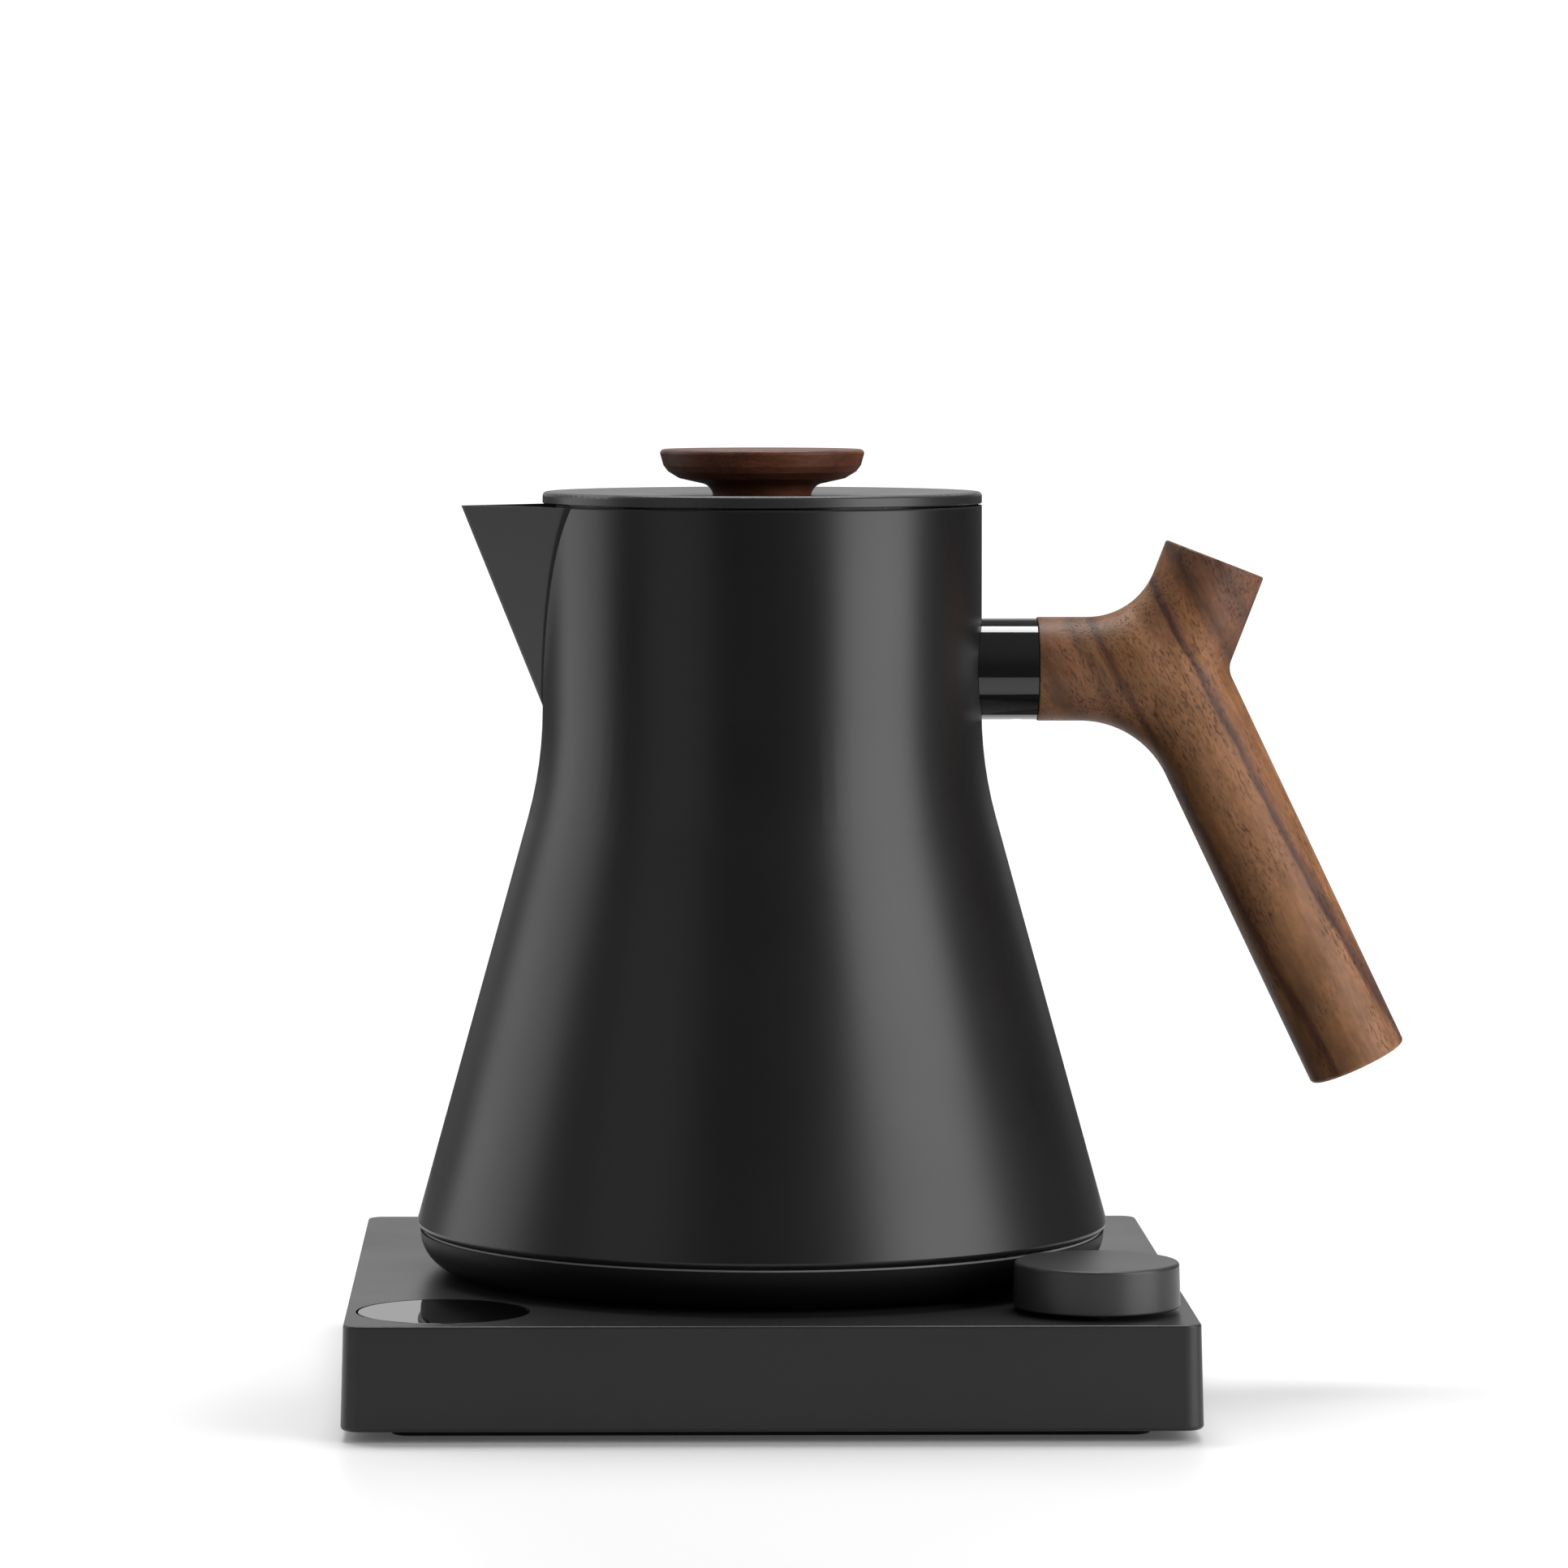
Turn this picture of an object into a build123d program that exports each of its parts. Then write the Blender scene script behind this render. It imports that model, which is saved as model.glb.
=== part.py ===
"""Electric pour-over kettle on a square heated base, with a V spout and a forked walnut handle.

Millimetres, +Z up.  The origin is on the table, under the kettle's axis, which is also the middle
of the base.  +X points along the handle, -X along the spout, -Y to the side with dial and display.
"""

from build123d import *
from math import cos, radians, sin, sqrt, tan
import os

# ---- driving dimensions: base ----------------------------------------------------------------
base_width = 171.4  # square plan, measured at its lower edge
base_height = 21.0  # housing only, from its lower edge to its top face
base_lift = 2.2  # lower edge of the housing above the table
base_corner = 4.0  # plan corner radius
base_draft = 1.5  # degrees, narrower towards the top
base_wall = 2.4
base_top_wall = 2.5
base_top_edge = 0.5
base_low_edge = 0.9

foot_inset = 9.7  # housing edge to the outside of the foot ring
foot_width = 9.0
foot_groove = 0.8  # how deep the foot ring sits in the cover

cover_recess = 0.4  # underside of the cover above the housing's lower edge
cover_thickness = 2.0

control_inset_x = 20.0  # base edge to the middle of dial and display
control_inset_y = 22.0

lens_diameter = 34.2
lens_gap = 0.4  # dark line around the lens
lens_thickness = 2.2
lens_flange = 1.3

dial_diameter = 33.1  # at its top
dial_height = 9.0
dial_flare = 0.5  # its foot wider than its top, across the diameter
dial_gap = 1.0  # dial above the base
dial_wall = 1.6
dial_press = 0.5  # travel of the push switch
encoder_shaft_diameter = 5.0

board_thickness = 1.6
board_screw_diameter = 2.5
cover_screw_diameter = 3.0

# ---- driving dimensions: cordless connector --------------------------------------------------
post_radius = 19.0
post_height = 7.8  # above the base's top face
contact_pin_radius = 2.4
inner_ring_radius = 8.2  # middle of each contact ring
outer_ring_radius = 13.8
contact_wall = 1.0

# ---- driving dimensions: kettle --------------------------------------------------------------
neck_radius = 46.0
flare_radius = 85.0  # concave bend between neck and cone
cone_half_angle = 15.4  # degrees
belly_radius = 72.3
cone_foot_z = 33.8  # where the cone ends and the rim rolls in
body_top = 183.6
body_wall = 0.8
rim_roll = 1.5
pan_bottom_gap = 0.4  # pan above the base
pan_inset = 0.6  # the pan's rim inside the body's widest edge
pan_wall = 2.0
seal_thickness = 0.4
floor_z = 38.0  # underside of the water floor
floor_thickness = 1.2

spout_length = 17.0  # neck to the tip
spout_half_angle = 43.0  # degrees, half of the V seen from above
spout_wall = 0.8
spout_drop = 41.7  # tip to the lower end of the ridge
spout_run = 16.9  # how far the ridge runs back over that drop
spout_gap = 0.45  # each side, between the spout and its cut-out
spout_flange = 4.0  # width of the brazing flange inside the neck
spout_fold = 0.8  # inside bend radius at the ridge

handle_z = 149.2
collar_diameter = 21.2
collar_length = 11.5  # neck to the wood
collar_bore = 15.0
arm_length = 28.45  # collar to where the three limbs of the handle meet
arm_diameter = 21.8
horn_diameter = 21.9
horn_lean = 21.3  # degrees from vertical
horn_length = 24.8
grip_diameter = 21.3
grip_lean = 25.4  # degrees from vertical
grip_length = 91.7
fork_radius_top = 15.0
fork_radius_under = 20.0
fork_radius_back = 4.5
handle_round = 10.1  # rounding of the three limbs along their length
stud_diameter = 6.0

# ---- driving dimensions: lid -----------------------------------------------------------------
lid_gap = 0.4
lid_thickness = 2.45
lid_dish = 0.85
lid_sheet = 0.9
lid_edge = 0.9
plug_depth = 8.6
plug_clearance = 2.0  # neck bore to plug
gasket_clearance = 1.15  # neck bore to gasket, room for the spout's flange
knob_radius = 21.4
knob_seat_radius = 10.3
knob_rise = 8.85  # top of the knob above the lid's rim
knob_edge = 0.9
knob_cove = 3.0  # radius where the underside turns down to the seat
# underside of the knob from its rim inwards: inset from the rim, depth below the top
knob_underside = [(0.7, 3.4), (1.7, 4.7), (4.0, 6.1), (8.4, 7.1)]
knob_screw_diameter = 4.0

# ---- clearances ------------------------------------------------------------------------------
press = 0.02  # pressed or glued together
thread = 0.03  # screw in its thread
seat = 0.05  # faces that rest on each other
running = 0.05  # turning or sliding fit
free = 0.3  # pieces that must never touch
screw_hole = 0.2  # clearance hole round a screw

os.makedirs("parts", exist_ok=True)


def save(builder, name):
    """Label a finished piece and write it as a STEP file of the same name."""
    builder.part.label = name
    export_step(builder.part, "parts/" + name + ".step")


def disc(radius, low, high, mode=Mode.ADD):
    """A plain cylinder about the vertical of the current location."""
    Cylinder(radius, high - low, align=(Align.CENTER, Align.CENTER, Align.MIN), mode=mode)


def posts(places, radius, low, high, mode=Mode.ADD):
    """Upright cylinders at several (x, y) places."""
    with Locations(*[(x, y, low) for x, y in places]):
        disc(radius, low, high, mode)


def ring(outer, inner, low, high, mode=Mode.ADD):
    """A flat ring about the Z axis."""
    with BuildSketch(Plane.XY.offset(low)) as plan:
        Circle(outer)
        Circle(inner, mode=Mode.SUBTRACT)
    extrude(plan.sketch, amount=high - low, mode=mode)


def pan_head_screws(places, diameter, head_low, shank_high):
    """Upright screws, heads down, each a solid of its own."""
    head_height = 0.55 * diameter
    posts(places, 0.95 * diameter, head_low, head_low + head_height)
    posts(places, diameter / 2, head_low + head_height, shank_high)


# ---- base: levels and places that several pieces share ---------------------------------------
base_top = base_lift + base_height
ceiling_z = base_top - base_top_wall
cover_low = base_lift + cover_recess
cover_high = cover_low + cover_thickness
inner_width = base_width - 2 * base_wall
wall_lean = tan(radians(base_draft))
low_hull = base_width / 2
control_x = low_hull - control_inset_x
control_y = control_inset_y - low_hull
dial_centre = (control_x, control_y)
display_centre = (-control_x, control_y)

lens_radius = lens_diameter / 2
lens_flange_radius = lens_radius + lens_flange
lens_low = base_top - lens_thickness - lens_flange

post_top = base_top + post_height
post_flange_radius = post_radius + 8.0
post_flange_high = ceiling_z - seat
post_flange_low = post_flange_high - 3.0
post_screw_radius = post_radius + 4.6
post_screws = [
    (post_screw_radius * cos(radians(a)), post_screw_radius * sin(radians(a))) for a in (90, 210, 330)
]

foot_outer = base_width - 2 * foot_inset
foot_inner = foot_outer - 2 * foot_width
foot_high = cover_low + foot_groove
cover_screw_edge = foot_inner / 2 - 6.0
cover_screw_front = control_x - 35.0
cover_screws_at = [
    (-cover_screw_edge, cover_screw_edge),
    (cover_screw_edge, cover_screw_edge),
    (-cover_screw_front, -cover_screw_edge),
    (cover_screw_front, -cover_screw_edge),
]
cover_boss_radius = 4.0
board_boss_radius = 2.8
control_board_size = (108.0, 32.0)
control_board_y = foot_inner / 2 - 21.0
control_board_z = 8.6
board_inset = 4.5
board_screw_x = control_board_size[0] / 2 - board_inset
board_screw_y = control_board_size[1] / 2 - board_inset
control_board_screws = [
    (side * board_screw_x, control_board_y + end * board_screw_y) for side in (-1, 1) for end in (-1, 1)
]
corner_board = 40.0
corner_screw_reach = max(lens_radius, dial_diameter / 2) + 4.4
display_board_z = 12.4
encoder_board_z = 10.2


def corner_board_screws(side):
    """Two screw places beside the dial (side +1) or the display (side -1)."""
    return [
        (side * (control_x - corner_screw_reach), control_y),
        (side * control_x, control_y + corner_screw_reach),
    ]


def corner_board_centre(side):
    """The small square boards reach from the corner towards the middle of the base."""
    return (side * (control_x - 5.0), control_y + 5.0)


rear_z = base_lift + base_height / 2
rear_outer = low_hull - (rear_z - base_lift) * wall_lean
rear_inner = rear_outer - base_wall
gland_bore = 3.6
gland_sleeve = 5.6
gland_flange = 7.6
gland_flange_thickness = 1.6
clamp_y = rear_inner - 13.0
clamp_screw_x = 9.0
clamp_bar_high = rear_z - gland_bore - 0.2
clamp_bar_height = 2.4
clamp_boss_radius = 3.0
switch_x = 45.0
switch_travel = 3.0
switch_nub = (4.0, 3.4)
switch_plate = (9.0, 6.4, 1.0)
switch_body = (18.0, 9.0, 8.0)

# ---- base: housing, cover, foot --------------------------------------------------------------
with BuildPart() as base_housing:
    with BuildSketch(Plane.XY.offset(base_lift)):
        RectangleRounded(base_width, base_width, base_corner)
    extrude(amount=base_height, taper=base_draft)
    fillet(base_housing.faces().sort_by(Axis.Z)[-1].edges(), base_top_edge)
    fillet(base_housing.faces().sort_by(Axis.Z)[0].edges(), base_low_edge)
    with BuildSketch(Plane.XY.offset(base_lift)):
        RectangleRounded(inner_width, inner_width, base_corner - base_wall / 2)
    extrude(amount=base_height - base_top_wall, taper=base_draft, mode=Mode.SUBTRACT)
    posts(cover_screws_at, cover_boss_radius, cover_high + seat, ceiling_z)
    posts(control_board_screws, board_boss_radius, control_board_z + board_thickness, ceiling_z)
    posts(corner_board_screws(-1), board_boss_radius, display_board_z + board_thickness, ceiling_z)
    posts(corner_board_screws(1), board_boss_radius, encoder_board_z + board_thickness, ceiling_z)
    clamp_bosses = [(-clamp_screw_x, clamp_y), (clamp_screw_x, clamp_y)]
    posts(clamp_bosses, clamp_boss_radius, clamp_bar_high + seat, ceiling_z)
    posts(cover_screws_at, cover_screw_diameter / 2 + thread, cover_high, ceiling_z - 1, Mode.SUBTRACT)
    board_screws_at = control_board_screws + corner_board_screws(-1) + corner_board_screws(1)
    posts(board_screws_at, board_screw_diameter / 2 + thread, control_board_z, ceiling_z - 1, Mode.SUBTRACT)
    posts(clamp_bosses, board_screw_diameter / 2 + thread, clamp_bar_high, ceiling_z - 3, Mode.SUBTRACT)
    posts(post_screws, board_screw_diameter / 2 + thread, ceiling_z - 1, ceiling_z + 1.7, Mode.SUBTRACT)
    posts([(0, 0)], post_radius + free, ceiling_z - 1, base_top + 1, Mode.SUBTRACT)
    posts([display_centre], lens_radius + lens_gap, ceiling_z - 1, base_top + 1, Mode.SUBTRACT)
    posts([dial_centre], encoder_shaft_diameter + free, ceiling_z - 1, base_top + 1, Mode.SUBTRACT)
    with BuildSketch(Plane.XZ.offset(-rear_outer - 1)):
        with Locations((0, rear_z)):
            Circle(gland_sleeve + seat)
        with Locations((-switch_x, rear_z), (switch_x, rear_z)):
            Rectangle(switch_nub[0] + switch_travel + 2 * free, switch_nub[1] + 2 * free)
    extrude(amount=base_wall + 2, mode=Mode.SUBTRACT)
save(base_housing, "base_housing")


def foot_outline(grow):
    """The ring-shaped plan of the foot, grown on both sides."""
    RectangleRounded(foot_outer + 2 * grow, foot_outer + 2 * grow, base_corner + grow)
    RectangleRounded(foot_inner - 2 * grow, foot_inner - 2 * grow, base_corner - grow, mode=Mode.SUBTRACT)


with BuildPart() as base_cover:
    cover_width = inner_width - 2 * (free + (cover_high - base_lift) * wall_lean)
    with BuildSketch(Plane.XY.offset(cover_low)):
        RectangleRounded(cover_width, cover_width, base_corner - base_wall / 2)
    extrude(amount=cover_thickness)
    with BuildSketch(Plane.XY.offset(cover_low)):
        foot_outline(press)
    extrude(amount=foot_groove, mode=Mode.SUBTRACT)
    with Locations(*[Location((x, y, cover_low), (180, 0, 0)) for x, y in cover_screws_at]):
        CounterSinkHole(
            radius=cover_screw_diameter / 2 + screw_hole,
            counter_sink_radius=cover_screw_diameter + screw_hole,
            depth=cover_thickness,
        )
save(base_cover, "base_cover")

with BuildPart() as foot_ring:
    with BuildSketch():
        foot_outline(0)
    extrude(amount=foot_high - press)
    chamfer(foot_ring.faces().sort_by(Axis.Z)[0].edges(), 0.4)
save(foot_ring, "foot_ring")

with BuildPart() as cover_screws:
    head = cover_screw_diameter / 2
    with Locations(*[(x, y, cover_low) for x, y in cover_screws_at]):
        Cone(2 * head, head, head, align=(Align.CENTER, Align.CENTER, Align.MIN))
    posts(cover_screws_at, head, cover_low + head, ceiling_z - 3)
save(cover_screws, "cover_screws")

# ---- base: cordless connector post -----------------------------------------------------------
slot_low = base_top - 1.2
slot_half = contact_wall / 2 + 0.9
contact_tails = [(0.0, 0.0), (0.0, inner_ring_radius), (0.0, -outer_ring_radius)]
tail_radius = 1.0
contact_pad = 0.8

with BuildPart() as connector_post:
    posts([(0, 0)], post_flange_radius, post_flange_low, post_flange_high)
    posts([(0, 0)], post_radius, post_flange_low, post_top)
    fillet(connector_post.edges().filter_by(GeomType.CIRCLE).group_by(Axis.Z)[-1], 1.2)
    posts([(0, 0)], contact_pin_radius + 1.0, slot_low, post_top + 1, Mode.SUBTRACT)
    for slot_radius in (inner_ring_radius, outer_ring_radius):
        ring(slot_radius + slot_half, slot_radius - slot_half, slot_low, post_top + 1, Mode.SUBTRACT)
    posts(contact_tails, tail_radius + seat, post_flange_low - 1, slot_low + 1, Mode.SUBTRACT)
    posts(post_screws, board_screw_diameter / 2 + screw_hole, post_flange_low - 1, ceiling_z, Mode.SUBTRACT)
save(connector_post, "connector_post")

with BuildPart() as post_contacts:
    posts(contact_tails, tail_radius, post_flange_low - 4, slot_low + seat)
    posts([(0, 0)], contact_pin_radius, slot_low + seat, slot_low + seat + contact_pad)
    for slot_radius in (inner_ring_radius, outer_ring_radius):
        ring(
            slot_radius + slot_half - seat,
            slot_radius - slot_half + seat,
            slot_low + seat,
            slot_low + seat + contact_pad,
        )
save(post_contacts, "post_contacts")

with BuildPart() as post_screws_set:
    post_head_low = post_flange_low - seat - 0.55 * board_screw_diameter
    pan_head_screws(post_screws, board_screw_diameter, post_head_low, ceiling_z + 1.5)
save(post_screws_set, "post_screws")

# ---- base: circuit boards and what they carry ------------------------------------------------
board_top = control_board_z + board_thickness
screw_head = 0.55 * board_screw_diameter + seat


def board(width, depth, centre, low, screw_places):
    """A flat circuit board with its screw holes."""
    with BuildSketch(Plane.XY.offset(low)) as plan:
        with Locations(centre):
            RectangleRounded(width, depth, 1.5)
        with Locations(*screw_places):
            Circle(board_screw_diameter / 2 + screw_hole, mode=Mode.SUBTRACT)
    extrude(plan.sketch, amount=board_thickness - seat)


with BuildPart() as control_board:
    board(*control_board_size, (0, control_board_y), control_board_z, control_board_screws)
save(control_board, "control_board")

with BuildPart() as display_board:
    board(corner_board, corner_board, corner_board_centre(-1), display_board_z, corner_board_screws(-1))
save(display_board, "display_board")

with BuildPart() as encoder_board:
    board(corner_board, corner_board, corner_board_centre(1), encoder_board_z, corner_board_screws(1))
save(encoder_board, "encoder_board")

with BuildPart() as board_screws:
    pan_head_screws(
        control_board_screws, board_screw_diameter, control_board_z - screw_head, ceiling_z - 2
    )
    pan_head_screws(
        corner_board_screws(-1), board_screw_diameter, display_board_z - screw_head, ceiling_z - 2
    )
    pan_head_screws(
        corner_board_screws(1), board_screw_diameter, encoder_board_z - screw_head, ceiling_z - 2
    )
save(board_screws, "board_screws")


def component(name, size, place, corner):
    """A box-shaped part that stands on the control board; its place is from the board's middle."""
    width, depth, height = size
    with BuildPart() as block:
        with BuildSketch(Plane.XY.offset(board_top)):
            with Locations((place[0], control_board_y + place[1])):
                RectangleRounded(width, depth, corner)
        extrude(amount=height)
    save(block, name)


component("power_relay", (19.0, 15.5, 9.4), (-28.0, 5.0), 0.6)
component("supply_transformer", (21.0, 17.0, 9.0), (22.0, 3.0), 0.6)
component("processor", (9.0, 9.0, 1.2), (0.0, -6.0), 0.3)

with BuildPart() as capacitors:
    for capacitor_y in (-5.0, 7.0):
        posts([(40.0, control_board_y + capacitor_y)], 4.0, board_top, board_top + 8.6)
save(capacitors, "capacitors")

with BuildPart() as buzzer:
    buzzer_place = [(-7.0, control_board_y + 7.0)]
    posts(buzzer_place, 5.5, board_top, board_top + 6.0)
    posts(buzzer_place, 1.0, board_top + 5.0, board_top + 6.5, Mode.SUBTRACT)
save(buzzer, "buzzer")

# ---- base: display ---------------------------------------------------------------------------
with BuildPart() as display_lens:
    with BuildSketch(Plane.XY.offset(lens_low)):
        with Locations(display_centre):
            Circle(lens_flange_radius)
        ceiling_width = inner_width - 2 * (base_height * wall_lean + free)
        Rectangle(ceiling_width, ceiling_width, mode=Mode.INTERSECT)
    extrude(amount=ceiling_z - seat - lens_low)
    posts([display_centre], lens_radius, ceiling_z - seat, base_top)
    fillet(display_lens.edges().group_by(Axis.Z)[-1], 0.2)
save(display_lens, "display_lens")

lcd_low = display_board_z + board_thickness
with BuildPart() as display_module:
    with BuildSketch(Plane.XY.offset(lcd_low)):
        with Locations(display_centre):
            Rectangle(24.0, 24.0)
    extrude(amount=lens_low - seat - lcd_low)
save(display_module, "display_module")

# ---- base: push-and-turn encoder with its dial -----------------------------------------------
encoder_low = encoder_board_z + board_thickness
shaft_radius = encoder_shaft_diameter / 2
plunger_radius = shaft_radius + 1.0
bush_radius = plunger_radius + 0.8
encoder_high = encoder_low + 6.5
bush_top = base_top - 0.6
bore_low = encoder_low + 0.6
plunger_low = bore_low + dial_press + 0.4
dial_radius = dial_diameter / 2
dial_low = base_top + dial_gap
dial_top = dial_low + dial_height
shaft_top = dial_top - 2.0

with BuildPart() as encoder_body:
    with BuildSketch(Plane.XY.offset(encoder_low)):
        with Locations(dial_centre):
            RectangleRounded(13.0, 13.0, 0.8)
    extrude(amount=encoder_high - encoder_low)
    posts([dial_centre], bush_radius, encoder_low, bush_top)
    posts([dial_centre], plunger_radius + running, bore_low, bush_top + 1, Mode.SUBTRACT)
save(encoder_body, "encoder_body")

with BuildPart() as encoder_plunger:
    posts([dial_centre], plunger_radius, plunger_low, bush_top - 0.4)
    posts([dial_centre], shaft_radius + running, plunger_low + 1.0, bush_top, Mode.SUBTRACT)
save(encoder_plunger, "encoder_plunger")

with BuildPart() as encoder_shaft:
    posts([dial_centre], shaft_radius, plunger_low + 1.0 + seat, shaft_top)
    chamfer(encoder_shaft.edges().group_by(Axis.Z)[-1], 0.4)
save(encoder_shaft, "encoder_shaft")

with BuildPart() as dial:
    with Locations((*dial_centre, dial_low)):
        foot_radius = dial_radius + dial_flare / 2
        Cone(foot_radius, dial_radius, dial_height, align=(Align.CENTER, Align.CENTER, Align.MIN))
    fillet(dial.edges().group_by(Axis.Z)[-1], 0.7)
    fillet(dial.edges().group_by(Axis.Z)[0], 0.4)
    posts([dial_centre], dial_radius - dial_wall, dial_low - 1, dial_top - dial_wall, Mode.SUBTRACT)
    posts([dial_centre], shaft_radius + 2.4, dial_low, dial_top - dial_wall / 2)
    posts([dial_centre], shaft_radius + press, dial_low - 1, shaft_top + seat, Mode.SUBTRACT)
save(dial, "dial")

# ---- base: switches, cord gland and clamp at the back ----------------------------------------
plate_high_y = rear_inner - 0.4
plate_low_y = plate_high_y - switch_plate[2]


def rear_box(x, width, height, low_y, high_y, mode=Mode.ADD):
    """A box at switch height between two planes of constant Y."""
    with BuildSketch(Plane.XZ.offset(-high_y)) as section:
        with Locations((x, rear_z)):
            Rectangle(width, height)
    extrude(section.sketch, amount=high_y - low_y, mode=mode)


with BuildPart() as switch_bodies:
    for side in (-1, 1):
        body_high_y = plate_low_y - running
        rear_box(side * switch_x, switch_body[0], switch_body[1], body_high_y - switch_body[2], body_high_y)
        rear_box(
            side * switch_x,
            switch_nub[0] + switch_travel + 2 * free,
            switch_nub[1] + 2 * free,
            body_high_y - 3,
            body_high_y + 1,
            Mode.SUBTRACT,
        )
save(switch_bodies, "switch_bodies")

for switch_name, side in (("hold_switch", -1), ("unit_switch", 1)):
    with BuildPart() as slider:
        start_x = side * switch_x - switch_travel / 2
        rear_box(start_x, switch_plate[0], switch_plate[1], plate_low_y, plate_high_y)
        rear_box(start_x, switch_nub[0], switch_nub[1], plate_low_y - 2.4, rear_outer + 1.2)
    save(slider, switch_name)

with BuildPart() as cord_gland:
    sleeve_low_y = rear_inner - 7.0
    flange_low_y = low_hull + seat
    with BuildSketch(Plane.XZ.offset(-flange_low_y - gland_flange_thickness)):
        with Locations((0, rear_z)):
            Circle(gland_flange)
    extrude(amount=gland_flange_thickness)
    with BuildSketch(Plane.XZ.offset(-flange_low_y)):
        with Locations((0, rear_z)):
            Circle(gland_sleeve)
    extrude(amount=flange_low_y - sleeve_low_y)
    with BuildSketch(Plane.XZ.offset(-rear_inner + 2 * seat + 8 * wall_lean)):
        with Locations((0, rear_z)):
            Circle(gland_flange)
    extrude(amount=1.5)
    fillet(cord_gland.edges().group_by(Axis.Y)[-1], 0.6)
    with BuildSketch(Plane.XZ.offset(-low_hull - 10)):
        with Locations((0, rear_z)):
            Circle(gland_bore)
    extrude(amount=30, mode=Mode.SUBTRACT)
save(cord_gland, "cord_gland")

with BuildPart() as cord_clamp:
    with BuildSketch(Plane.XY.offset(clamp_bar_high - clamp_bar_height)):
        with Locations((0, clamp_y)):
            RectangleRounded(2 * clamp_screw_x + 7, 6.0, 1.5)
        with Locations(*clamp_bosses):
            Circle(board_screw_diameter / 2 + screw_hole, mode=Mode.SUBTRACT)
    extrude(amount=clamp_bar_height)
save(cord_clamp, "cord_clamp")

with BuildPart() as clamp_screws:
    clamp_head_low = clamp_bar_high - clamp_bar_height - screw_head
    pan_head_screws(clamp_bosses, board_screw_diameter, clamp_head_low, ceiling_z - 4)
save(clamp_screws, "clamp_screws")

# ---- kettle: meridian of the body ------------------------------------------------------------
pan_radius = belly_radius - pan_inset
half_angle = radians(cone_half_angle)
flare_end_radius = neck_radius + flare_radius * (1 - cos(half_angle))
flare_end_z = cone_foot_z + (belly_radius - flare_end_radius) / tan(half_angle)
neck_low = flare_end_z + flare_radius * sin(half_angle)
rim_z = cone_foot_z - rim_roll


def cone_radius(z, inset=0.0):
    """Radius of the cone at a height, measured to a surface that lies inset inside it."""
    return flare_end_radius + (flare_end_z - z) * tan(half_angle) - inset / cos(half_angle)


def flare_point(inset, share):
    """A point on the concave bend: share 0 at the neck, 1 at the cone."""
    angle = share * half_angle
    reach = flare_radius + inset
    return (neck_radius + flare_radius - reach * cos(angle), neck_low - reach * sin(angle))


def wall_line(inset, top, foot):
    """Neck, bend and cone as one line, inset from the outer surface."""
    Line((neck_radius - inset, top), flare_point(inset, 0))
    ThreePointArc(flare_point(inset, 0), flare_point(inset, 0.5), flare_point(inset, 1))
    Line(flare_point(inset, 1), (cone_radius(foot, inset), foot))


def tube_face(outer_inset, inner_inset, top, foot):
    """The section of a thin wall between two insets."""
    with BuildLine() as outline:
        wall_line(outer_inset, top, foot)
        wall_line(inner_inset, top, foot)
        Line((neck_radius - outer_inset, top), (neck_radius - inner_inset, top))
        Line((cone_radius(foot, outer_inset), foot), (cone_radius(foot, inner_inset), foot))
    make_face(outline.edges())


# ---- kettle: the V of the spout --------------------------------------------------------------
spout_top = body_top - 0.1
spout_reach = neck_radius + spout_length
ridge_lean = spout_run / spout_drop
spout_angle = radians(spout_half_angle)
# the plates lean with the ridge, so a wall is wider across the plan than it is thick
plan_factor = sqrt(1 + (sin(spout_angle) * ridge_lean) ** 2)
ridge_round = spout_fold + spout_wall
sharp_tip = -spout_reach - ridge_round * (1 / sin(spout_angle) - 1)
wedge_depth = 1.5 * spout_drop


def wedge(shift, fold, mode=Mode.ADD, rise=0.0):
    """A V-shaped prism that leans with the ridge; shift moves both faces inwards, rise lifts the top."""
    tip = sharp_tip + shift * plan_factor / sin(spout_angle) - rise * ridge_lean
    side = wedge_reach * tan(spout_angle)
    with BuildSketch(Plane.XY.offset(spout_top + rise)) as plan:
        with BuildLine():
            Polyline((tip, 0), (tip + wedge_reach, side), (tip + wedge_reach, -side), close=True)
        make_face()
        fillet(plan.vertices().sort_by(Axis.X)[0], fold)
    extrude(plan.sketch, amount=wedge_depth, dir=(ridge_lean, 0, -1), mode=mode)


def meridian_solid(inset, top, foot, mode):
    """Everything inside a surface that lies inset inside the body's outer surface."""
    with BuildSketch(Plane.XZ) as section:
        with BuildLine():
            wall_line(inset, top, foot)
            Polyline((neck_radius - inset, top), (0, top), (0, foot), (cone_radius(foot, inset), foot))
        make_face()
    revolve(section.sketch, axis=Axis.Z, mode=mode)


wedge_reach = -sharp_tip - 0.68 * neck_radius
lining = body_wall + seat
hem_inner = pan_radius - 2.7

with BuildPart() as body_shell:
    with BuildSketch(Plane.XZ) as wall:
        with BuildLine():
            wall_line(0, body_top, cone_foot_z)
            wall_line(body_wall, body_top, cone_foot_z)
            Line((neck_radius, body_top), (neck_radius - body_wall, body_top))
            RadiusArc((belly_radius, cone_foot_z), (belly_radius - rim_roll, rim_z), rim_roll)
            Polyline(
                (belly_radius - rim_roll, rim_z),
                (hem_inner, rim_z),
                (hem_inner, rim_z + body_wall),
                (cone_radius(cone_foot_z, body_wall) - 0.3, rim_z + body_wall),
                (cone_radius(cone_foot_z, body_wall), cone_foot_z),
            )
        make_face()
    revolve(axis=Axis.Z)
    wedge(-spout_gap, ridge_round + spout_gap, Mode.SUBTRACT, rise=2.0)
save(body_shell, "body_shell")

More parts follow.
